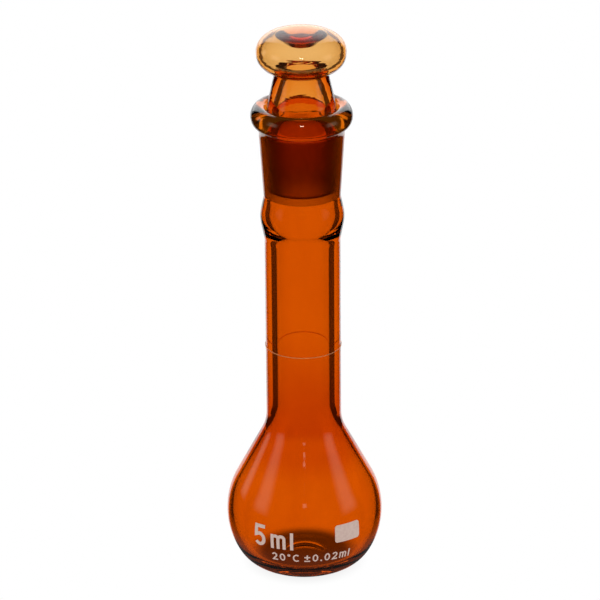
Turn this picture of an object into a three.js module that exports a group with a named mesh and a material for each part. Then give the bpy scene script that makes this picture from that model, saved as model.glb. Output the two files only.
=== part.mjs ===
// A 5 ml volumetric flask in amber glass, with the hollow ground stopper that closes it.
// Millimetres, +Z up. The flask stands on z = 0, its axis is Z, and its printed side faces -Y.
import * as THREE from "three";
import { TessellateModifier } from "three/addons/modifiers/TessellateModifier.js";
import { mergeVertices } from "three/addons/utils/BufferGeometryUtils.js";

const radians = THREE.MathUtils.degToRad;

// How finely round shapes are cut into flats.
const turnedSides = 48;
const chordSag = 0.04; // how far a straight step of an outline may leave its arc
const rimSteps = 12;
const headSteps = { hollow: 12, outside: 14, seal: 7 };

// Bulb and foot. The inside holds 5.00 ml up to the graduation line.
const bulbRadius = 11;
const bulbCentre = 8.1; // height of the bulb's centre
const bulbWall = 0.82;
const shoulderSlope = radians(28.2); // between the shoulder's cone and the axis
const footRounding = 5;
const footInner = 3; // the flat ring it stands on starts here
const puntHeight = 0.5; // hollow under the floor, inside that ring
const floorHeight = 1.5; // top of the glass floor

// Neck.
const neckRadius = 5.26;
const neckBore = 3.65;
const neckTop = 48.2; // the straight part ends here
const shoulderRounding = 6.3; // where the shoulder's cone meets the neck
const markHeight = 33.3; // the graduation line

// The swelling below the socket.
const bulge = { radius: 5.93, bore: 4.55, height: 52.5, boreFoot: 49.6, rounding: 2 };

// Ground joint: a No. 9 stopper on the standard 1 in 10 taper, so its radius grows by 1 in 20.
const taper = 1 / 20;
const mouth = { height: 67.8, bore: 4.87 }; // upper end of the ground socket
const socketFoot = 55.5; // lower end of the ground socket
const socketRadius = { foot: 5.33, top: 5.98 }; // outside of the socket
const groundClearance = 0.05; // between the plug and the socket, all round
const plugFoot = 56.6; // lower end of the plug

// Fire-polished rim, an upright oval in section.
const rim = { radius: 7.05, halfWidth: 1.25, halfHeight: 1.6, height: 67.2, inwardTurn: radians(120) };

// Stopper above the plug.
const plugBore = 3.2;
const plugTop = 68.2;
const shank = { bore: 3.25, foot: 68.8 };
const waist = { height: 73.5, radius: 3.68, bore: 2, boreHeight: 72.9 };
const head = { radius: 6.19, halfHeight: 3.24, height: 76.3, wall: 0.8 };
const headSquareness = 2.38; // 2 would be a plain oval
const seal = { drop: 1.5, radius: 3.4 }; // thick spot where the blown head was closed
const edgeRounding = 0.3; // fire-polished edges
const softRounding = 1; // bends worked in the flame

// Enamel marks fired on the outside.
const enamelGap = 0.03;
const enamelThickness = 0.06;
const markWidth = 0.22; // height of the graduation line's band
const longestEnamelEdge = 0.7; // so that the marks follow the bulb
const arcSteps = 6;

const glassLook = { color: 0xcc5a08, roughness: 0.03, metalness: 0, transparent: true, opacity: 0.55 };
const stopperLook = { ...glassLook, color: 0xe08a28 };
const enamelLook = { color: 0xd9cfc6, roughness: 0.6, metalness: 0 };

function named(name, geometry, look) {
  const mesh = new THREE.Mesh(geometry, new THREE.MeshStandardMaterial(look));
  mesh.name = name;
  return mesh;
}

// Points along an arc in the (radius, height) plane.
function arc(centreRadius, centreHeight, size, from, to) {
  const step = 2 * Math.acos(1 - chordSag / size);
  const count = Math.max(2, Math.ceil(Math.abs(to - from) / step));
  const curve = new THREE.EllipseCurve(centreRadius, centreHeight, size, size, from, to, to < from);
  return curve.getPoints(count);
}

// An outline through [radius, height, rounding] corners, where a rounding is the radius of an arc
// that touches both of the corner's sides.
function rounded(corners) {
  const points = corners.map(([radius, height]) => new THREE.Vector2(radius, height));
  return corners.flatMap(([, , rounding], i) => {
    const corner = points[i];
    if (!rounding) return [corner];
    const back = points[i - 1].clone().sub(corner).normalize();
    const on = points[i + 1].clone().sub(corner).normalize();
    const half = back.angleTo(on) / 2;
    const touch = rounding / Math.tan(half);
    const toCentre = back.clone().add(on).setLength(rounding / Math.sin(half));
    const start = back.multiplyScalar(touch).sub(toCentre).angle();
    const end = on.multiplyScalar(touch).sub(toCentre).angle();
    const turn = THREE.MathUtils.euclideanModulo(end - start + Math.PI, 2 * Math.PI) - Math.PI;
    const centre = toCentre.add(corner);
    return arc(centre.x, centre.y, rounding, start, start + turn);
  });
}

// A solid of revolution about Z, from an outline that starts and ends on the axis and runs
// anticlockwise, seen with the axis on the left.
function turned(outline) {
  return new THREE.LatheGeometry(outline, turnedSides).rotateX(Math.PI / 2);
}

// One face of the bulb's wall, from the floor up to where it turns into the neck.
function bulbSide(sphere, floor, rounding, neck, neckRounding) {
  const cornerRise = floor + rounding - bulbCentre;
  const cornerRadius = Math.sqrt((sphere - rounding) ** 2 - cornerRise ** 2);
  const cornerEnd = Math.atan2(cornerRise, cornerRadius);
  const shoulderRadius = sphere * Math.cos(shoulderSlope);
  const shoulderHeight = bulbCentre + sphere * Math.sin(shoulderSlope);
  const neckFoot = shoulderHeight + (shoulderRadius - neck) / Math.tan(shoulderSlope);
  const turnIntoNeck = rounded([
    [shoulderRadius, shoulderHeight],
    [neck, neckFoot, neckRounding],
    [neck, markHeight],
  ]);
  return [
    ...arc(cornerRadius, floor + rounding, rounding, -Math.PI / 2, cornerEnd),
    ...arc(0, bulbCentre, sphere, cornerEnd, 0).slice(1),
    ...arc(0, bulbCentre, sphere, 0, shoulderSlope).slice(1),
    ...turnIntoNeck.slice(1, -1),
  ];
}

// The flask from the middle of its underside, up the outside, over the rim and down the inside.
function flaskOutline() {
  const puntSphere = (footInner ** 2 + puntHeight ** 2) / (2 * puntHeight);
  const punt = arc(0, puntHeight - puntSphere, puntSphere, Math.PI / 2, Math.acos(footInner / puntSphere));
  const outside = bulbSide(bulbRadius, 0, footRounding, neckRadius, shoulderRounding);

  const rimCentre = rim.radius - rim.halfWidth;
  const rimFoot = -Math.acos((socketRadius.top - rimCentre) / rim.halfWidth);
  const rimOval = new THREE.EllipseCurve(
    rimCentre, rim.height, rim.halfWidth, rim.halfHeight, rimFoot, rim.inwardTurn,
  ).getPoints(rimSteps);
  const socket = rounded([
    [neckRadius, markHeight],
    [neckRadius, neckTop, bulge.rounding],
    [bulge.radius, bulge.height, bulge.rounding],
    [socketRadius.foot, socketFoot, bulge.rounding],
    [socketRadius.top, rimOval[0].y],
  ]);

  const groundFootBore = mouth.bore - (mouth.height - socketFoot) * taper;
  const bore = rounded([
    rimOval.at(-1).toArray(),
    [mouth.bore, mouth.height, edgeRounding],
    [groundFootBore, socketFoot, softRounding],
    [bulge.bore, bulge.height, softRounding],
    [neckBore, bulge.boreFoot, bulge.rounding],
    [neckBore, markHeight],
  ]);

  const inside = bulbSide(
    bulbRadius - bulbWall,
    floorHeight,
    footRounding - bulbWall,
    neckBore,
    shoulderRounding + neckRadius - neckBore,
  );
  return [
    ...punt,
    ...outside,
    ...socket.slice(1, -1),
    ...rimOval,
    ...bore.slice(1, -1),
    ...inside.reverse(),
    new THREE.Vector2(0, floorHeight),
  ];
}

// The point of the head's section at an angle around its middle: on its outside at no inset, and on
// the hollow's face at an inset of the wall.
function headPoint(inset, angle) {
  const power = 2 / headSquareness;
  const out = Math.max(Math.cos(angle), 0) ** power;
  const up = Math.sign(Math.sin(angle)) * Math.abs(Math.sin(angle)) ** power;
  return new THREE.Vector2((head.radius - inset) * out, head.height + (head.halfHeight - inset) * up);
}

// The angle above the head's middle at which that section has the given radius.
function headAngle(inset, radius) {
  return Math.acos((radius / (head.radius - inset)) ** (headSquareness / 2));
}

function headSide(inset, from, to, count) {
  return Array.from({ length: count + 1 }, (_, i) => headPoint(inset, from + ((to - from) * i) / count));
}

// The crown's inner face, which hangs down around the seal.
function sealedCrown() {
  return Array.from({ length: headSteps.seal }, (_, i) => {
    const radius = (seal.radius * i) / headSteps.seal;
    const point = headPoint(head.wall, headAngle(head.wall, radius));
    const hang = (seal.drop * (1 + Math.cos(Math.PI * (radius / seal.radius) ** 2))) / 2;
    return new THREE.Vector2(radius, point.y - hang);
  });
}

// The stopper from the middle of its crown's inner face, down the hollow and up the outside.
function stopperOutline() {
  const throatAngle = -headAngle(head.wall, waist.bore);
  const hollow = headSide(head.wall, headAngle(head.wall, seal.radius), throatAngle, headSteps.hollow);
  const plugRadius = (height) => mouth.bore - groundClearance - (mouth.height - height) * taper;
  const neckAngle = -headAngle(0, waist.radius + edgeRounding);
  const outside = headSide(0, neckAngle, Math.PI / 2, headSteps.outside);
  const walls = rounded([
    hollow.at(-2).toArray(),
    [...hollow.at(-1).toArray(), edgeRounding],
    [waist.bore, waist.boreHeight, softRounding],
    [shank.bore, shank.foot, softRounding],
    [plugBore, plugFoot, edgeRounding],
    [plugRadius(plugFoot), plugFoot, edgeRounding],
    [plugRadius(plugTop), plugTop, softRounding],
    [waist.radius, waist.height, edgeRounding],
    outside[0].toArray(),
  ]);
  return [...sealedCrown(), ...hollow.slice(0, -1), ...walls.slice(1, -1), ...outside];
}

function graduationLine() {
  const inner = neckRadius + enamelGap;
  const band = [
    [inner, -markWidth / 2],
    [inner + enamelThickness, -markWidth / 2],
    [inner + enamelThickness, markWidth / 2],
    [inner, markWidth / 2],
    [inner, -markWidth / 2],
  ];
  return turned(band.map(([radius, rise]) => new THREE.Vector2(radius, markHeight + rise)));
}

// The outline of a pen stroke of the given width along an open path.
function penStroke(path, pen) {
  const points = path.getPoints(arcSteps);
  const sides = { left: [], right: [] };
  points.forEach((point, i) => {
    const [start, end] = i > 0 ? [points[i - 1], point] : [point, points[1]];
    const before = end.clone().sub(start).normalize();
    const after = (points[i + 1] ? points[i + 1].clone().sub(point) : before.clone()).normalize();
    const along = before.clone().add(after).normalize();
    const reach = pen / 2 / along.dot(before);
    sides.left.push(new THREE.Vector2(point.x - along.y * reach, point.y + along.x * reach));
    sides.right.unshift(new THREE.Vector2(point.x + along.y * reach, point.y - along.x * reach));
  });
  return new THREE.Shape([...sides.left, ...sides.right]);
}

function ring(x, y, halfWidth, halfHeight, pen) {
  const shape = new THREE.Shape();
  shape.absellipse(x, y, halfWidth, halfHeight, 0, 2 * Math.PI);
  const hole = new THREE.Path();
  hole.absellipse(x, y, halfWidth - pen, halfHeight - pen, 0, 2 * Math.PI);
  shape.holes.push(hole);
  return shape;
}

function bar(x, y, width, height) {
  return new THREE.Shape([
    new THREE.Vector2(x, y),
    new THREE.Vector2(x + width, y),
    new THREE.Vector2(x + width, y + height),
    new THREE.Vector2(x, y + height),
  ]);
}

// Lettering, drawn with one even pen on a cap height of 1. Each glyph gives its width and its outlines.
const glyphs = {
  5: (pen) => {
    const path = new THREE.Path().moveTo(0.55, 1 - pen / 2).lineTo(0.13, 1 - pen / 2).lineTo(0.12, 0.52);
    path.absellipse(0.29, 0.33, 0.29 - pen / 2, 0.33 - pen / 2, radians(95), radians(-145), true);
    return { width: 0.58, shapes: [penStroke(path, pen)] };
  },
  2: (pen) => {
    const path = new THREE.Path();
    path.absellipse(0.29, 0.69, 0.29 - pen / 2, 0.31 - pen / 2, radians(165), radians(-35), true);
    path.lineTo(0.08, pen / 2).lineTo(0.6, pen / 2);
    return { width: 0.6, shapes: [penStroke(path, pen)] };
  },
  C: (pen) => {
    const path = new THREE.Path();
    path.absellipse(0.4, 0.5, 0.4 - pen / 2, 0.5 - pen / 2, radians(50), radians(310), false);
    return { width: 0.7, shapes: [penStroke(path, pen)] };
  },
  0: (pen) => ({ width: 0.62, shapes: [ring(0.31, 0.5, 0.31, 0.5, pen)] }),
  degree: (pen) => ({ width: 0.32, shapes: [ring(0.16, 0.84, 0.16, 0.16, pen * 0.8)] }),
  point: (pen) => ({ width: pen * 1.2, shapes: [bar(0, 0, pen * 1.2, pen * 1.2)] }),
  l: (pen) => ({ width: pen, shapes: [bar(0, 0, pen, 1)] }),
  m: (pen) => ({ width: 0.82, shapes: [letterM(0.82, 0.83, pen)] }),
  plusminus: (pen) => ({ width: 0.62, shapes: [plus(0.31, 0.6, 0.31, pen), bar(0, 0, 0.62, pen)] }),
};

function plus(x, y, reach, pen) {
  const shape = new THREE.Shape();
  const arm = [[pen / 2, pen / 2], [pen / 2, reach], [-pen / 2, reach]];
  const corners = [0, 1, 2, 3].flatMap((quarter) =>
    arm.map(([across, out]) =>
      new THREE.Vector2(across, out).rotateAround(new THREE.Vector2(), (quarter * Math.PI) / 2)),
  );
  shape.setFromPoints(corners.map((corner) => corner.add(new THREE.Vector2(x, y))));
  return shape;
}

// A small m: a stem and two round arches that meet over the middle leg.
function letterM(width, height, pen) {
  const pitch = (width - pen) / 2;
  const inner = (pitch - pen) / 2;
  const outer = inner + pen;
  const spring = height - outer;
  const centres = [outer, outer + pitch];
  const shape = new THREE.Shape().moveTo(0, 0).lineTo(0, height).lineTo(pen, height);
  const join = Math.acos((inner + pen / 2) / outer);
  shape.absarc(centres[0], spring, outer, Math.PI - Math.acos(inner / outer), join, true);
  shape.absarc(centres[1], spring, outer, Math.PI - join, 0, true);
  shape.lineTo(width, 0).lineTo(width - pen, 0);
  shape.absarc(centres[1], spring, inner, 0, Math.PI, false);
  shape.lineTo(pitch + pen, 0).lineTo(pitch, 0);
  shape.absarc(centres[0], spring, inner, 0, Math.PI, false);
  shape.lineTo(pen, 0);
  return shape;
}

// A flat enamel shape, cut fine enough to bend and laid on the bulb around a bearing from -Y.
function onBulb(shape, bearing, latitude) {
  const flat = new THREE.ExtrudeGeometry(shape, {
    depth: enamelThickness,
    bevelEnabled: false,
    curveSegments: arcSteps,
  });
  const fine = new TessellateModifier(longestEnamelEdge).modify(flat);
  fine.deleteAttribute("normal");
  fine.deleteAttribute("uv");
  const geometry = mergeVertices(fine, 1e-4);
  const position = geometry.getAttribute("position");
  for (let i = 0; i < position.count; i += 1) {
    const turn = bearing + position.getX(i) / (bulbRadius * Math.cos(latitude));
    const rise = latitude + position.getY(i) / bulbRadius;
    const reach = bulbRadius + enamelGap + position.getZ(i);
    position.setXYZ(
      i,
      reach * Math.cos(rise) * Math.sin(turn),
      -reach * Math.cos(rise) * Math.cos(turn),
      bulbCentre + reach * Math.sin(rise),
    );
  }
  geometry.computeVertexNormals();
  return geometry;
}

// The figures that say what the flask holds, at which temperature and how closely. Each character is
// a glyph and the names of its pieces. The bearings are those of the first character's left edge.
const upperLine = radians(-8.8);
const lowerLine = radians(-19.4);
const small = { size: 1.3, pen: 0.2, latitude: lowerLine };
const captions = [
  { size: 3.26, pen: 0.5, latitude: upperLine, start: radians(-40), text: [["5", "capacity_digit_5"]] },
  {
    size: 2.65,
    pen: 0.44,
    latitude: upperLine,
    start: radians(-25.7),
    text: [["m", "capacity_letter_m"], ["l", "capacity_letter_l"]],
  },
  {
    ...small,
    start: radians(-25.5),
    text: [
      ["2", "temperature_digit_2"],
      ["0", "temperature_digit_0"],
      ["degree", "temperature_degree_sign"],
      ["C", "temperature_letter_C"],
    ],
  },
  {
    ...small,
    start: radians(-0.5),
    text: [
      ["plusminus", "tolerance_plus_sign", "tolerance_minus_sign"],
      ["0", "tolerance_digit_0_ones"],
      ["point", "tolerance_decimal_point"],
      ["0", "tolerance_digit_0_tenths"],
      ["2", "tolerance_digit_2"],
      ["m", "tolerance_letter_m"],
      ["l", "tolerance_letter_l"],
    ],
  },
];
const letterGap = 0.24; // of a line's size

// A plain field to write on.
const field = { width: 4, height: 2.6, corner: 0.4, bearing: radians(33), latitude: radians(2) };

function enlarged(shape, size) {
  const { shape: outline, holes } = shape.extractPoints(arcSteps);
  const larger = new THREE.Shape(outline.map((point) => point.multiplyScalar(size)));
  larger.holes = holes.map((hole) => new THREE.Path(hole.map((point) => point.multiplyScalar(size))));
  return larger;
}

function lettering({ text, size, pen, start, latitude }) {
  let bearing = start;
  return text.flatMap(([character, ...names]) => {
    const { width, shapes } = glyphs[character](pen / size);
    const marks = shapes.map((shape, piece) =>
      named(names[piece], onBulb(enlarged(shape, size), bearing, latitude), enamelLook));
    bearing += ((width + letterGap) * size) / (bulbRadius * Math.cos(latitude));
    return marks;
  });
}

function writingField() {
  const { width, height, corner, bearing, latitude } = field;
  const [x, y] = [width / 2, height / 2];
  const shape = new THREE.Shape();
  shape.absarc(x - corner, y - corner, corner, 0, Math.PI / 2);
  shape.absarc(corner - x, y - corner, corner, Math.PI / 2, Math.PI);
  shape.absarc(corner - x, corner - y, corner, Math.PI, 1.5 * Math.PI);
  shape.absarc(x - corner, corner - y, corner, 1.5 * Math.PI, 2 * Math.PI);
  return onBulb(shape, bearing, latitude);
}

const flask = new THREE.Group();
flask.add(
  named("flask_body", turned(flaskOutline()), glassLook),
  named("graduation_line", graduationLine(), enamelLook),
  named("writing_field", writingField(), enamelLook),
  ...captions.flatMap(lettering),
);

const stopper = new THREE.Group();
stopper.add(named("stopper", turned(stopperOutline()), stopperLook));

const volumetricFlask = new THREE.Group();
volumetricFlask.add(flask, stopper);

export default volumetricFlask;
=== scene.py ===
"""The looks of a 5 ml amber volumetric flask with its hollow ground stopper.

The flask and its stopper are turned again from the CAD's outlines, finely and in one piece each.
The flask has materials for its stained outside, its clear inside and its ground socket. Outlines
are (radius, height) points in millimetres. Everything else is in metres.
"""

import math

import bpy
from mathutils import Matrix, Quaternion, Vector


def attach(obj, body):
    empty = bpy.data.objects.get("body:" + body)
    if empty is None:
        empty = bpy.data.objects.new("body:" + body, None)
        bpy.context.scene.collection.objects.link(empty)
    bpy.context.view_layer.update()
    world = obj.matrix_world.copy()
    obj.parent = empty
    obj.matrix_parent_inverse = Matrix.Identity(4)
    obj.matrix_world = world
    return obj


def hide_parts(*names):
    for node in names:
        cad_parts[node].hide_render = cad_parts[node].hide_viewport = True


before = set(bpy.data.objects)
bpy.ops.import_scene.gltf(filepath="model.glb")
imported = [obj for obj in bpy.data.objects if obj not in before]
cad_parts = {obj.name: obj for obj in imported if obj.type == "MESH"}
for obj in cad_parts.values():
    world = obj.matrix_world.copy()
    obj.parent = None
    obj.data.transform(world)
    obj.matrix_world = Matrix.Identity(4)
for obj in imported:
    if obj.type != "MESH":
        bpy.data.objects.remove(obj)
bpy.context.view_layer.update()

MM = 0.001

# How finely round shapes are cut.
TURNED_SIDES = 128
CHORD_SAG = 0.004
LONGEST_STEP = 1.0  # along an outline, so that straight walls shade straight
WIDEST_TURN = math.radians(9)
HEAD_STEPS, SEAL_STEPS = 48, 20

# The CAD's dimensions. Only the bulge is rounder than there, which moves its faces up to 0.16 mm.
BULB_RADIUS, BULB_CENTRE, BULB_WALL = 11, 8.1, 0.82
SHOULDER_SLOPE = math.radians(28.2)
FOOT_ROUNDING, FOOT_INNER, PUNT_HEIGHT, FLOOR_HEIGHT = 5, 3, 0.5, 1.5
NECK_RADIUS, NECK_BORE, NECK_TOP = 5.26, 3.65, 49.2
SHOULDER_ROUNDING, MARK_HEIGHT = 6.3, 33.3
BULGE_RADIUS, BULGE_HEIGHT, BULGE_ROUNDING, BULGE_END_ROUNDING = 5.93, 52.6, 5, 2
BULGE_BORE, BULGE_BORE_HEIGHT, BULGE_BORE_ROUNDING = 4.75, 52, 4
BULGE_BORE_FOOT, BULGE_BORE_FOOT_ROUNDING = 50, 3
TAPER = 1 / 20
MOUTH_HEIGHT, MOUTH_BORE = 67.8, 4.87
SOCKET_FOOT, SOCKET_FOOT_RADIUS, SOCKET_TOP_RADIUS = 55.5, 5.33, 5.98
GROUND_CLEARANCE, PLUG_FOOT, PLUG_TOP, PLUG_BORE = 0.05, 56.6, 68.2, 3.2
RIM_RADIUS, RIM_HALF_WIDTH, RIM_HALF_HEIGHT, RIM_HEIGHT = 7.05, 1.25, 1.6, 67.2
RIM_INWARD_TURN = math.radians(120)
SHANK_BORE, SHANK_FOOT = 3.25, 68.8
WAIST_HEIGHT, WAIST_RADIUS, WAIST_BORE, WAIST_BORE_HEIGHT = 73.5, 3.68, 2, 72.9
HEAD_RADIUS, HEAD_HALF_HEIGHT, HEAD_HEIGHT, HEAD_WALL = 6.19, 3.24, 76.3, 0.8
HEAD_SQUARENESS = 2.38  # 2 would be a plain oval
SEAL_DROP, SEAL_RADIUS = 1.5, 3.4
EDGE_ROUNDING, SOFT_ROUNDING = 0.3, 1
LINE_GAP, LINE_THICKNESS = 0.03, 0.06
LINE_HALF_HEIGHT = 0.045  # finer than the CAD's ring


# Outlines.


def arc(centre, size, start, end):
    """Points along an arc, from one angle to another. A pair of sizes gives an oval."""
    across, up = size if isinstance(size, tuple) else (size, size)
    step = min(2 * math.acos(1 - min(CHORD_SAG / max(across, up), 1)), WIDEST_TURN)
    count = max(2, math.ceil(abs(end - start) / step))
    angles = (start + (end - start) * i / count for i in range(count + 1))
    return [(centre[0] + across * math.cos(a), centre[1] + up * math.sin(a)) for a in angles]


def rounded(corners):
    """An outline through (radius, height, rounding) corners."""
    points = [Vector(corner[:2]) for corner in corners]
    outline = []
    for i, (radius, height, *rounding) in enumerate(corners):
        if not rounding:
            outline.append((radius, height))
            continue
        size = rounding[0]
        back = (points[i - 1] - points[i]).normalized()
        on = (points[i + 1] - points[i]).normalized()
        half = back.angle(on) / 2
        to_centre = (back + on).normalized() * (size / math.sin(half))
        touch = size / math.tan(half)
        from_start = back * touch - to_centre
        from_end = on * touch - to_centre
        start = math.atan2(from_start.y, from_start.x)
        end = math.atan2(from_end.y, from_end.x)
        turn = (end - start + math.pi) % (2 * math.pi) - math.pi
        outline += arc(points[i] + to_centre, size, start, start + turn)
    return outline


def bulb_side(sphere, floor, rounding, neck, neck_rounding):
    """One face of the bulb's wall, from the floor up to where it turns into the neck."""
    corner_rise = floor + rounding - BULB_CENTRE
    corner_radius = math.sqrt((sphere - rounding) ** 2 - corner_rise**2)
    corner_end = math.atan2(corner_rise, corner_radius)
    shoulder_radius = sphere * math.cos(SHOULDER_SLOPE)
    shoulder_height = BULB_CENTRE + sphere * math.sin(SHOULDER_SLOPE)
    neck_foot = shoulder_height + (shoulder_radius - neck) / math.tan(SHOULDER_SLOPE)
    turn_into_neck = rounded([
        (shoulder_radius, shoulder_height),
        (neck, neck_foot, neck_rounding),
        (neck, MARK_HEIGHT),
    ])
    return [
        *arc((corner_radius, floor + rounding), rounding, -math.pi / 2, corner_end),
        *arc((0, BULB_CENTRE), sphere, corner_end, 0)[1:],
        *arc((0, BULB_CENTRE), sphere, 0, SHOULDER_SLOPE)[1:],
        *turn_into_neck[1:-1],
    ]


def flask_stretches():
    """The flask's outline, anticlockwise from the middle of its underside, by material."""
    punt_sphere = (FOOT_INNER**2 + PUNT_HEIGHT**2) / (2 * PUNT_HEIGHT)
    punt_centre = (0, PUNT_HEIGHT - punt_sphere)
    punt = arc(punt_centre, punt_sphere, math.pi / 2, math.acos(FOOT_INNER / punt_sphere))
    outside = bulb_side(BULB_RADIUS, 0, FOOT_ROUNDING, NECK_RADIUS, SHOULDER_ROUNDING)

    rim_centre = RIM_RADIUS - RIM_HALF_WIDTH
    rim_foot = -math.acos((SOCKET_TOP_RADIUS - rim_centre) / RIM_HALF_WIDTH)
    rim_size = (RIM_HALF_WIDTH, RIM_HALF_HEIGHT)
    rim = arc((rim_centre, RIM_HEIGHT), rim_size, rim_foot, RIM_INWARD_TURN)
    socket = rounded([
        (NECK_RADIUS, MARK_HEIGHT),
        (NECK_RADIUS, NECK_TOP, BULGE_END_ROUNDING),
        (BULGE_RADIUS, BULGE_HEIGHT, BULGE_ROUNDING),
        (SOCKET_FOOT_RADIUS, SOCKET_FOOT, BULGE_END_ROUNDING),
        (SOCKET_TOP_RADIUS, rim[0][1]),
    ])[1:-1]

    ground_foot_bore = MOUTH_BORE - (MOUTH_HEIGHT - SOCKET_FOOT) * TAPER
    mouth = rounded([
        rim[-1],
        (MOUTH_BORE, MOUTH_HEIGHT, EDGE_ROUNDING),
        (ground_foot_bore, SOCKET_FOOT),
    ])[1:-1]
    bore = rounded([
        (MOUTH_BORE, MOUTH_HEIGHT),
        (ground_foot_bore, SOCKET_FOOT, SOFT_ROUNDING),
        (BULGE_BORE, BULGE_BORE_HEIGHT, BULGE_BORE_ROUNDING),
        (NECK_BORE, BULGE_BORE_FOOT, BULGE_BORE_FOOT_ROUNDING),
        (NECK_BORE, MARK_HEIGHT),
    ])[1:-1]
    inside = bulb_side(
        BULB_RADIUS - BULB_WALL,
        FLOOR_HEIGHT,
        FOOT_ROUNDING - BULB_WALL,
        NECK_BORE,
        SHOULDER_ROUNDING + NECK_RADIUS - NECK_BORE,
    )
    return [
        ("stained", [*punt, *outside, *socket, *rim, *mouth]),
        ("ground", bore[:1]),
        ("clear", [*bore[1:], *reversed(inside), (0, FLOOR_HEIGHT)]),
    ]


def head_point(inset, angle):
    """A point of the stopper head's section: on its outside, or inset by the wall on its hollow."""
    power = 2 / HEAD_SQUARENESS
    out = max(math.cos(angle), 0) ** power
    up = math.copysign(abs(math.sin(angle)) ** power, math.sin(angle))
    return (HEAD_RADIUS - inset) * out, HEAD_HEIGHT + (HEAD_HALF_HEIGHT - inset) * up


def head_angle(inset, radius):
    """The angle above the head's middle at which that section has the given radius."""
    return math.acos((radius / (HEAD_RADIUS - inset)) ** (HEAD_SQUARENESS / 2))


def head_side(inset, start, end):
    """Points along that section, from one angle to another."""
    step = (end - start) / HEAD_STEPS
    return [head_point(inset, start + step * i) for i in range(HEAD_STEPS + 1)]


def sealed_crown():
    """The crown's inner face, which hangs down around the seal."""
    points = []
    for i in range(SEAL_STEPS):
        radius = SEAL_RADIUS * i / SEAL_STEPS
        height = head_point(HEAD_WALL, head_angle(HEAD_WALL, radius))[1]
        hang = SEAL_DROP * (1 + math.cos(math.pi * (radius / SEAL_RADIUS) ** 2)) / 2
        points.append((radius, height - hang))
    return points


def stopper_stretches():
    """The stopper's outline, from the middle of its crown's inner face, by material."""
    throat_angle = -head_angle(HEAD_WALL, WAIST_BORE)
    hollow = head_side(HEAD_WALL, head_angle(HEAD_WALL, SEAL_RADIUS), throat_angle)
    neck_angle = -head_angle(0, WAIST_RADIUS + EDGE_ROUNDING)
    outside = head_side(0, neck_angle, math.pi / 2)

    def plug_radius(height):
        return MOUTH_BORE - GROUND_CLEARANCE - (MOUTH_HEIGHT - height) * TAPER

    inside = rounded([
        hollow[-2],
        (*hollow[-1], EDGE_ROUNDING),
        (WAIST_BORE, WAIST_BORE_HEIGHT, SOFT_ROUNDING),
        (SHANK_BORE, SHANK_FOOT, SOFT_ROUNDING),
        (PLUG_BORE, PLUG_FOOT, EDGE_ROUNDING),
        (plug_radius(PLUG_FOOT), PLUG_FOOT),
    ])[1:-1]
    edge = rounded([
        (PLUG_BORE, PLUG_FOOT),
        (plug_radius(PLUG_FOOT), PLUG_FOOT, EDGE_ROUNDING),
        (plug_radius(PLUG_TOP), PLUG_TOP),
    ])[1:-1]
    shoulder = rounded([
        (plug_radius(PLUG_FOOT), PLUG_FOOT),
        (plug_radius(PLUG_TOP), PLUG_TOP, SOFT_ROUNDING),
        (WAIST_RADIUS, WAIST_HEIGHT, EDGE_ROUNDING),
        outside[0],
    ])[1:-1]
    return [("amber", [*sealed_crown(), *hollow[:-1], *inside, *edge, *shoulder, *outside])]


def line_stretches():
    """The section of the graduation line's ring, as round as the neck that it lies on."""
    inner = NECK_RADIUS + LINE_GAP
    outer = inner + LINE_THICKNESS
    foot, top = MARK_HEIGHT - LINE_HALF_HEIGHT, MARK_HEIGHT + LINE_HALF_HEIGHT
    return [("line", [(inner, foot), (outer, foot), (outer, top), (inner, top), (inner, foot)])]


# Meshes.


def in_short_steps(stretches):
    """The outline of some stretches, with no long steps, and the material slot of each step."""
    outline, slots = [stretches[0][1][0]], []
    for slot, (_, points) in enumerate(stretches):
        for point in points if slot else points[1:]:
            last = outline[-1]
            pieces = math.ceil(math.dist(last, point) / LONGEST_STEP)
            for i in range(1, pieces):
                share = i / pieces
                outline.append(tuple(a + (b - a) * share for a, b in zip(last, point)))
            outline.append(point)
            slots += [slot] * pieces
    return outline, slots


def turned(name, stretches, materials):
    """A closed mesh of revolution about Z. A stretch is a material and the points it runs to."""
    outline, slots = in_short_steps(stretches)
    vertices, rings = [], []
    for radius, height in outline:
        sides = TURNED_SIDES if radius > CHORD_SAG else 1
        rings.append(range(len(vertices), len(vertices) + sides))
        for side in range(sides):
            turn = 2 * math.pi * side / sides
            reach = radius * MM if sides > 1 else 0
            vertices.append((reach * math.cos(turn), reach * math.sin(turn), height * MM))

    faces, face_slots = [], []
    for (lower, upper), slot in zip(zip(rings, rings[1:]), slots):
        for side in range(TURNED_SIDES):
            on = (side + 1) % TURNED_SIDES
            corners = (
                lower[side % len(lower)],
                lower[on % len(lower)],
                upper[on % len(upper)],
                upper[side % len(upper)],
            )
            faces.append(list(dict.fromkeys(corners)))
            face_slots.append(slot)

    mesh = bpy.data.meshes.new(name)
    mesh.from_pydata(vertices, [], faces)
    for material, _ in stretches:
        mesh.materials.append(materials[material])
    mesh.polygons.foreach_set("material_index", face_slots)
    mesh.shade_smooth()
    piece = bpy.data.objects.new(name, mesh)
    bpy.context.scene.collection.objects.link(piece)
    return piece


# Materials. A pair of heights is where a change along the glass starts and where it ends.

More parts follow.
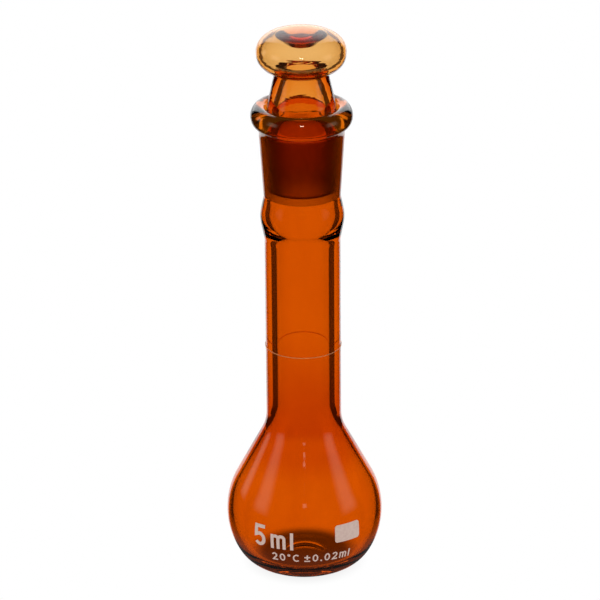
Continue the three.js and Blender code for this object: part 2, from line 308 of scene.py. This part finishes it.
GLASS_IOR = 1.47
CLEAR_TINTS = ((0.99, 0.98, 0.96), (1, 0.99, 0.97))
STAIN_TINTS = ((0.69, 0.085, 0.0003), (0.74, 0.098, 0.0004))
# Darker where the neck meets the bulb, and paler on the rim, with the heights of each change.
DARKER_TINT, DARKER_FOOT, DARKER_TOP = (0.8, 0.5, 0.9), (0.0145, 0.0185), (0.021, 0.036)
RIM_TINT, RIM_FOOT = (0.78, 0.18, 0.006), (0.065, 0.0664)
AMBER_BODY, AMBER_DENSITY = (0.965, 0.64, 0.01), 1080
GROUND_TINTS = ((0.54, 0.47, 0.28), (0.62, 0.53, 0.32))
GROUND_LOW_TINT, GROUND_LOW = (0.4, 0.36, 0.3), (0.056, 0.063)
GROUND_TOP = (0.0648, 0.0656)
WORKED_FROM, SHANK_TOP = (0.0683, 0.0693), (0.0732, 0.0745)
PLUG_SIDE = (0.0036, 0.0041)  # radii between its bore and its cone
ENAMEL_TINTS = ((0.52, 0.37, 0.32), (0.58, 0.43, 0.37))
LINE_TINTS = ((0.8, 0.36, 0.12), (0.95, 0.46, 0.16))
LINE_CLARITY, LINE_SHEEN = 0.8, 0.1

# The least and the most roughness.
POLISHED_ROUGHNESS, GROUND_ROUGHNESS = (0.006, 0.016), (0.42, 0.55)
ENAMEL_ROUGHNESS, LINE_ROUGHNESS = (0.45, 0.7), (0.6, 0.8)

# Patterns of noise: a factor along each axis, a scale per metre, detail and distortion.
STREAKS = ((1, 1, 0.35), 260, 2, 0)
WAVES = ((1, 1, 0.5), 120, 0, 0)
RINGS = ((0.12, 0.12, 1), 2400, 1, 0)
SWIRLS = ((1, 1, 0.7), 230, 1, 1.5)
GRAINS = ((1, 1, 3), 5200, 2, 0)
SPECKS = ((1, 1, 1), 3000, 2, 0)
PATCHES = ((1, 1, 1), 900, 2, 0)
NOISE_MIDDLE, NOISE_CORE = (0.3, 0.7), (0.35, 0.65)  # where most of the noise lies

# Heights of bumps.
WAVE_HEIGHT, RING_HEIGHT, SWIRL_HEIGHT = 0.000003, 0.000022, 0.00005
GRAIN_HEIGHT, SPECK_HEIGHT = 0.00001, 0.00001


def new_material(name):
    """A material with nodes: the material, its node tree and its Principled shader."""
    material = bpy.data.materials.new(name)
    material.use_nodes = True
    return material, material.node_tree, material.node_tree.nodes["Principled BSDF"]


def add(tree, kind, links=(), **settings):
    """A node of a kind, with its settings and its inputs, each a value or another's output."""
    node = tree.nodes.new(kind)
    for key, value in settings.items():
        setattr(node, key, value)
    for key, value in dict(links).items():
        if isinstance(value, bpy.types.NodeSocket):
            tree.links.new(value, node.inputs[key])
        else:
            node.inputs[key].default_value = value
    return node


def combine(tree, operation, *values):
    """The result of a Math operation on values, each a number or an output."""
    return add(tree, "ShaderNodeMath", dict(enumerate(values)), operation=operation).outputs[0]


def within(tree, value, full, none):
    """1 where a value is up to full, and smoothly down to 0 at none."""
    inputs = {"Value": value, "From Min": full, "From Max": none, "To Min": 1.0, "To Max": 0.0}
    return add(tree, "ShaderNodeMapRange", inputs, interpolation_type="SMOOTHSTEP").outputs[0]


def beyond(tree, value, none, full):
    """1 where a value is full or more, and smoothly down to 0 at none."""
    return combine(tree, "SUBTRACT", 1.0, within(tree, value, none, full))


def axes_of(tree, place):
    """A place's X, Y and Z."""
    return add(tree, "ShaderNodeSeparateXYZ", {0: place}).outputs


def length_of(tree, place):
    """How far a place is from the origin."""
    return add(tree, "ShaderNodeVectorMath", {0: place}, operation="LENGTH").outputs["Value"]


def object_place(tree):
    """Where a point is in the object's own coordinates, which stay with it as it moves."""
    return add(tree, "ShaderNodeTexCoord").outputs["Object"]


def object_noise(tree, stretch, scale, detail, distortion):
    """A pattern of noise in the object's own coordinates."""
    inputs = {"Vector": object_place(tree), "Scale": stretch}
    stretched = add(tree, "ShaderNodeMapping", inputs).outputs[0]
    return add(tree, "ShaderNodeTexNoise", {
        "Vector": stretched,
        "Scale": scale,
        "Detail": detail,
        "Distortion": distortion,
    }).outputs["Fac"]


def spread(tree, noise, low, high):
    """A number that runs from low to high as the noise does."""
    least, most = NOISE_MIDDLE
    return add(tree, "ShaderNodeMapRange", {
        "Value": noise,
        "From Min": least,
        "From Max": most,
        "To Min": low,
        "To Max": high,
    }).outputs[0]


def tint(tree, noise, dark, light):
    """A colour that runs from dark to light as the noise does."""
    ramp = add(tree, "ShaderNodeValToRGB", {"Fac": noise})
    for element, colour, place in zip(ramp.color_ramp.elements, (dark, light), NOISE_CORE):
        element.color = (*colour, 1)
        element.position = place
    return ramp.outputs["Color"]


def mixed_colour(tree, share, colour, other, blend="MIX"):
    """A colour mixed by a share with another one, which is three numbers or an output."""
    second = (*other, 1) if isinstance(other, tuple) else other
    inputs = {0: share, 6: colour, 7: second}
    return add(tree, "ShaderNodeMix", inputs, data_type="RGBA", blend_type=blend).outputs[2]


def relief(tree, *layers):
    """A bump from layers of noise, each a height in metres and the factors that multiply it."""
    total = 0.0
    for height, *factors in layers:
        for factor in factors:
            height = combine(tree, "MULTIPLY", height, factor)
        total = combine(tree, "ADD", total, height)
    return add(tree, "ShaderNodeBump", {"Height": total, "Strength": 1, "Distance": 1}).outputs[0]


class Glass:
    """A glass material in the making: polished and faintly wavy, until it is treated."""

    def __init__(self, name, tints):
        self.material, self.tree, self.shader = new_material(name)
        self.shader.inputs["Transmission Weight"].default_value = 1
        self.shader.inputs["IOR"].default_value = GLASS_IOR
        self.height = axes_of(self.tree, object_place(self.tree))["Z"]
        self.streaks = object_noise(self.tree, *STREAKS)
        self.colour = tint(self.tree, self.streaks, *tints)
        self.roughness = spread(self.tree, self.streaks, *POLISHED_ROUGHNESS)
        self.layers = [(WAVE_HEIGHT, object_noise(self.tree, *WAVES))]

    def stain(self):
        """Its colour is darker where the neck meets the bulb, and paler on the rim."""
        tree, height = self.tree, self.height
        up_from_bulb = beyond(tree, height, *DARKER_FOOT)
        darker = combine(tree, "MULTIPLY", within(tree, height, *DARKER_TOP), up_from_bulb)
        self.colour = mixed_colour(tree, darker, self.colour, DARKER_TINT, "MULTIPLY")
        self.colour = mixed_colour(tree, beyond(tree, height, *RIM_FOOT), self.colour, RIM_TINT)

    def work(self):
        """It has the rings and swirls of work in the flame above the joint."""
        tree, height = self.tree, self.height
        above_joint = beyond(tree, height, *WORKED_FROM)
        on_shank = combine(tree, "MULTIPLY", above_joint, within(tree, height, *SHANK_TOP))
        self.layers.append((RING_HEIGHT, object_noise(tree, *RINGS), above_joint))
        self.layers.append((SWIRL_HEIGHT, object_noise(tree, *SWIRLS), on_shank))

    def grind(self, radii=None):
        """It is ground up to the top of the joint, but only past those radii if any are given."""
        tree, streaks = self.tree, self.streaks
        share = within(tree, self.height, *GROUND_TOP)
        if radii:
            inputs = {0: object_place(tree), 1: (1, 1, 0)}
            flat = add(tree, "ShaderNodeVectorMath", inputs, operation="MULTIPLY").outputs[0]
            share = combine(tree, "MULTIPLY", beyond(tree, length_of(tree, flat), *radii), share)
        matt = combine(tree, "MULTIPLY", spread(tree, streaks, *GROUND_ROUGHNESS), share)
        low = within(tree, self.height, *GROUND_LOW)
        matt_tint = mixed_colour(tree, low, tint(tree, streaks, *GROUND_TINTS), GROUND_LOW_TINT)
        self.roughness = combine(tree, "MAXIMUM", self.roughness, matt)
        self.colour = mixed_colour(tree, share, self.colour, matt_tint)
        self.layers.append((GRAIN_HEIGHT, object_noise(tree, *GRAINS), share))

    def fill(self, colour, density):
        """It is coloured through its whole thickness."""
        inputs = {"Color": (*colour, 1), "Density": density}
        absorption = add(self.tree, "ShaderNodeVolumeAbsorption", inputs).outputs[0]
        self.tree.links.new(absorption, self.tree.nodes["Material Output"].inputs["Volume"])

    def finish(self):
        """The finished material."""
        self.tree.links.new(self.colour, self.shader.inputs["Base Color"])
        self.tree.links.new(self.roughness, self.shader.inputs["Roughness"])
        self.tree.links.new(relief(self.tree, *self.layers), self.shader.inputs["Normal"])
        return self.material


def stained_glass():
    """The flask's outside, with its amber stain."""
    glass = Glass("amber_stained_glass", STAIN_TINTS)
    glass.stain()
    return glass.finish()


def clear_glass():
    """The flask's inside."""
    return Glass("clear_inner_glass", CLEAR_TINTS).finish()


def socket_glass():
    """The socket's bore, ground to fit the stopper."""
    glass = Glass("ground_socket_glass", CLEAR_TINTS)
    glass.grind()
    return glass.finish()


def stopper_glass():
    """The stopper, of one amber glass that is ground on its plug."""
    glass = Glass("amber_stopper_glass", CLEAR_TINTS)
    glass.work()
    glass.grind(PLUG_SIDE)
    glass.fill(AMBER_BODY, AMBER_DENSITY)
    return glass.finish()


def enamel():
    """White enamel, fired on and slightly grainy."""
    material, tree, shader = new_material("white_enamel")
    specks = object_noise(tree, *SPECKS)
    tree.links.new(tint(tree, specks, *ENAMEL_TINTS), shader.inputs["Base Color"])
    tree.links.new(spread(tree, specks, *ENAMEL_ROUGHNESS), shader.inputs["Roughness"])
    tree.links.new(relief(tree, (SPECK_HEIGHT, specks)), shader.inputs["Normal"])
    return material


def etched_line():
    """A fine pale line that lets through most of the light behind it."""
    material, tree, shader = new_material("etched_line")
    patches = object_noise(tree, *PATCHES)
    tree.links.new(tint(tree, patches, *LINE_TINTS), shader.inputs["Base Color"])
    tree.links.new(spread(tree, patches, *LINE_ROUGHNESS), shader.inputs["Roughness"])
    shader.inputs["Transmission Weight"].default_value = LINE_CLARITY
    shader.inputs["Specular IOR Level"].default_value = LINE_SHEEN
    return material


# The object.

flask = turned("flask_glass", flask_stretches(), {
    "stained": stained_glass(),
    "clear": clear_glass(),
    "ground": socket_glass(),
})
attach(flask, "flask")
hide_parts("flask_body")

stopper = turned("stopper_glass", stopper_stretches(), {"amber": stopper_glass()})
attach(stopper, "stopper")
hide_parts("stopper")

line = turned("graduation_ring", line_stretches(), {"line": etched_line()})
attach(line, "flask")
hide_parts("graduation_line")

white_enamel = enamel()
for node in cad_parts.values():
    if not node.hide_render:
        node.data.materials.clear()
        node.data.materials.append(white_enamel)


# The studio. It is white to the eye, also through the glass. Light that the glass has mirrored
# finds it dark, but for a lit part behind the flask. An outer strength is for light mirrored by the
# outside of the glass, and an inner one for light mirrored within it.

UNLIT, UNLIT_ABOVE, ABOVE_FROM = 0.09, 0.22, (0.4, 0.6)  # inner, low and high in the room
UNLIT_NEAR, NEAR_REACH = 0.35, (0.018, 0.026)  # inner, on the table near the foot
AROUND, AROUND_REACH = 0.08, (0.011, 0.02)  # outer, on the table around the foot
LIT_HALF, LIT_FADE = 0.008, 0.003  # the lit part's half width beside the flask, and its soft edge
LIT_SLOPE, LIT_SPREAD = 0.56, 1.4  # how it widens behind, and how far past that the wall fades
SKY, SKY_FADE, INNER_SKY_FADE = 2.0, (0.5, 0.97), (0.02, 0.12)  # outer strength, and both edges
SHADOW_REACH = (0.0055, 0.0095)
SHADOW_SEEN, SHADOW_THROUGH = 0.15, 0.85  # on the table itself, and through the glass
TABLE_HALF = 4.0
TABLE_DROP = 0.00005  # keeps the table clear of the foot that stands on it
WINDOW_LIGHT = (1, 0.88, 0.66)
BULB_VIEW, RIM_VIEW = 0.018, 0.067  # heights that see a window at its stated angles
SOFT_WINDOW, SOFT_LAMP, SOFT_SLAT = (0.4, 0.35), (0.2, 0.2), (0.2, 0.1)
SLAT_FOOT, SLAT_PITCH, SLAT_HEIGHT = 31.3, 0.2, 0.12  # degrees
BLACK, WHITE = (0, 0, 0, 1), (1, 1, 1, 1)


def card(name, centre, width_along, height_along, material):
    """A flat card from its centre and two half sides."""
    centre, across, up = Vector(centre), Vector(width_along), Vector(height_along)
    mesh = bpy.data.meshes.new(name)
    places = ((0, 0), (1, 0), (1, 1), (0, 1))
    corners = [centre + across * (2 * u - 1) + up * (2 * v - 1) for u, v in places]
    mesh.from_pydata(corners, [], [(0, 1, 2, 3)])
    for loop, place in zip(mesh.uv_layers.new(name="card").data, places):
        loop.uv = place
    mesh.materials.append(material)
    thing = bpy.data.objects.new(name, mesh)
    bpy.context.scene.collection.objects.link(thing)
    return thing


def window_material(name, strength, soft):
    """A glow that is full in a card's middle and fades over a share of its width and height."""
    material, tree, shader = new_material(name)
    axes = axes_of(tree, add(tree, "ShaderNodeUVMap", uv_map="card").outputs[0])
    fades = []
    for axis, share in zip("XY", soft):
        off_middle = combine(tree, "ABSOLUTE", combine(tree, "SUBTRACT", axes[axis], 0.5))
        fades.append(within(tree, off_middle, 0.5 - share, 0.5))
    shader.inputs["Base Color"].default_value = BLACK
    shader.inputs["Emission Color"].default_value = (*WINDOW_LIGHT, 1)
    glow = combine(tree, "MULTIPLY", combine(tree, "MULTIPLY", *fades), strength)
    tree.links.new(glow, shader.inputs["Emission Strength"])
    return material


def studio_strength(tree, outer, inner):
    """White, but light mirrored off the glass finds the outer strength, and light mirrored in it
    finds the inner one."""
    path = add(tree, "ShaderNodeLightPath")
    mirrored = combine(tree, "GREATER_THAN", path.outputs["Glossy Depth"], 0.5)
    inside = combine(tree, "GREATER_THAN", path.outputs["Transmission Depth"], 0.5)
    change = combine(tree, "SUBTRACT", inner, outer)
    found = combine(tree, "MULTIPLY_ADD", inside, change, outer)
    return combine(tree, "MULTIPLY_ADD", mirrored, combine(tree, "SUBTRACT", found, 1.0), 1.0)


def table_material():
    """A pale table with the flask's soft contact shadow."""
    material, tree, shader = new_material("pale_table")
    place = add(tree, "ShaderNodeNewGeometry").outputs["Position"]
    axes = axes_of(tree, place)
    off_middle = combine(tree, "ABSOLUTE", axes["X"])
    off_lit = combine(tree, "MULTIPLY_ADD", axes["Y"], -LIT_SLOPE, off_middle)
    beside = within(tree, off_lit, LIT_HALF, LIT_HALF + LIT_FADE)
    lit = combine(tree, "MULTIPLY", beside, beyond(tree, axes["Y"], LIT_FADE, 2 * LIT_FADE))
    reach = length_of(tree, place)
    around = combine(tree, "MULTIPLY", within(tree, reach, *AROUND_REACH), AROUND)
    near_foot = combine(tree, "MULTIPLY", within(tree, reach, *NEAR_REACH), UNLIT_NEAR)
    inner = combine(tree, "MAXIMUM", lit, combine(tree, "MAXIMUM", near_foot, UNLIT))
    strength = studio_strength(tree, combine(tree, "MAXIMUM", lit, around), inner)
    seen = add(tree, "ShaderNodeLightPath").outputs["Is Camera Ray"]
    share = combine(tree, "MULTIPLY_ADD", seen, SHADOW_SEEN - SHADOW_THROUGH, SHADOW_THROUGH)
    shadow = combine(tree, "MULTIPLY", within(tree, reach, *SHADOW_REACH), share)
    glow = combine(tree, "MULTIPLY", strength, combine(tree, "SUBTRACT", 1.0, shadow))
    shader.inputs["Base Color"].default_value = BLACK
    shader.inputs["Roughness"].default_value = 1
    shader.inputs["Specular IOR Level"].default_value = 0
    shader.inputs["Emission Color"].default_value = WHITE
    tree.links.new(glow, shader.inputs["Emission Strength"])
    return material


def studio_world():
    """A white room with a lit wall behind the flask."""
    world = bpy.data.worlds.new("studio")
    bpy.context.scene.world = world
    world.use_nodes = True
    tree = world.node_tree
    axes = axes_of(tree, add(tree, "ShaderNodeTexCoord").outputs["Generated"])
    away = combine(tree, "MAXIMUM", axes["Y"], 0.001)  # never 0
    slope = combine(tree, "DIVIDE", combine(tree, "ABSOLUTE", axes["X"]), away)
    beside = within(tree, slope, LIT_SLOPE, LIT_SLOPE * LIT_SPREAD)
    bright = combine(tree, "MULTIPLY", beside, SKY)
    outer = combine(tree, "MULTIPLY", bright, within(tree, axes["Z"], *SKY_FADE))
    inner = combine(tree, "MULTIPLY", beside, within(tree, axes["Z"], *INNER_SKY_FADE))
    above = beyond(tree, axes["Z"], *ABOVE_FROM)
    dim = combine(tree, "MULTIPLY_ADD", above, UNLIT_ABOVE - UNLIT, UNLIT)
    strength = studio_strength(tree, outer, combine(tree, "MAXIMUM", inner, dim))
    tree.links.new(strength, tree.nodes["Background"].inputs["Strength"])
    tree.nodes["Background"].inputs["Color"].default_value = WHITE


def window(name, azimuth, elevation, strength, soft, seen_from=BULB_VIEW, distance=0.8):
    """A bright card that only mirrored light sees. Its azimuths, from +Y, and its elevations are
    in degrees, as seen from a height on the axis. Soft is the share of its width and of its height
    that fades at each edge."""
    left, right = (math.radians(angle) for angle in azimuth)
    low, high = (math.tan(math.radians(angle)) * distance for angle in elevation)
    middle = (left + right) / 2
    out = Vector((math.sin(middle), math.cos(middle), 0))
    across = Vector((math.cos(middle), -math.sin(middle), 0))
    thing = card(
        name,
        out * distance + Vector((0, 0, seen_from + (low + high) / 2)),
        across * math.tan((right - left) / 2) * distance,
        (0, 0, (high - low) / 2),
        window_material(name, strength, soft),
    )
    thing.visible_camera = False
    thing.visible_diffuse = False
    thing.visible_shadow = False
    thing.visible_transmission = False


table_sides = (TABLE_HALF, 0, 0), (0, TABLE_HALF, 0)
table = card("table", (0, 0, -TABLE_DROP), *table_sides, table_material())
table.visible_shadow = False
studio_world()

window("left_window", (-128, -93), (-4, 33), 1.3, SOFT_WINDOW)
window("far_left_window", (-80, -58), (-4, 27), 1.2, SOFT_WINDOW)
window("right_window", (90, 128), (-4, 33), 1.3, SOFT_WINDOW)
window("rim_lamp", (174, 186), (28, 38), 22, SOFT_LAMP, RIM_VIEW, distance=0.15)
window("front_lamp", (176, 184), (21.5, 28), 2, SOFT_LAMP)
for slat in range(3):
    foot = SLAT_FOOT + slat * SLAT_PITCH
    window(f"front_slat_{slat}", (176.5, 183.5), (foot, foot + SLAT_HEIGHT), 3, SOFT_SLAT)


# The camera.

CAMERA_DISTANCE, CAMERA_NEAR = 0.55, 0.01
CAMERA_ELEVATION, CAMERA_ROLL = math.radians(22.456), math.radians(0.446)
CAMERA_LENS, CAMERA_SENSOR = 236.8, 36
AIM = Vector((-0.00042, 0, 0.039874))

camera_data = bpy.data.cameras.new("camera")
camera_data.lens = CAMERA_LENS
camera_data.sensor_width = CAMERA_SENSOR
camera_data.clip_start = CAMERA_NEAR
camera = bpy.data.objects.new("camera", camera_data)
back = Vector((0, -math.cos(CAMERA_ELEVATION), math.sin(CAMERA_ELEVATION)))
camera.location = AIM + back * CAMERA_DISTANCE
camera.rotation_mode = "QUATERNION"
roll = Quaternion((0, 0, 1), -CAMERA_ROLL)
camera.rotation_quaternion = (-back).to_track_quat("-Z", "Y") @ roll
bpy.context.scene.collection.objects.link(camera)
bpy.context.scene.camera = camera

scene = bpy.context.scene
scene.view_settings.view_transform = "Standard"
scene.cycles.max_bounces = 24
scene.cycles.transmission_bounces = 24
scene.cycles.glossy_bounces = 12
scene.cycles.use_denoising = True
scene.cycles.sample_clamp_indirect = 8
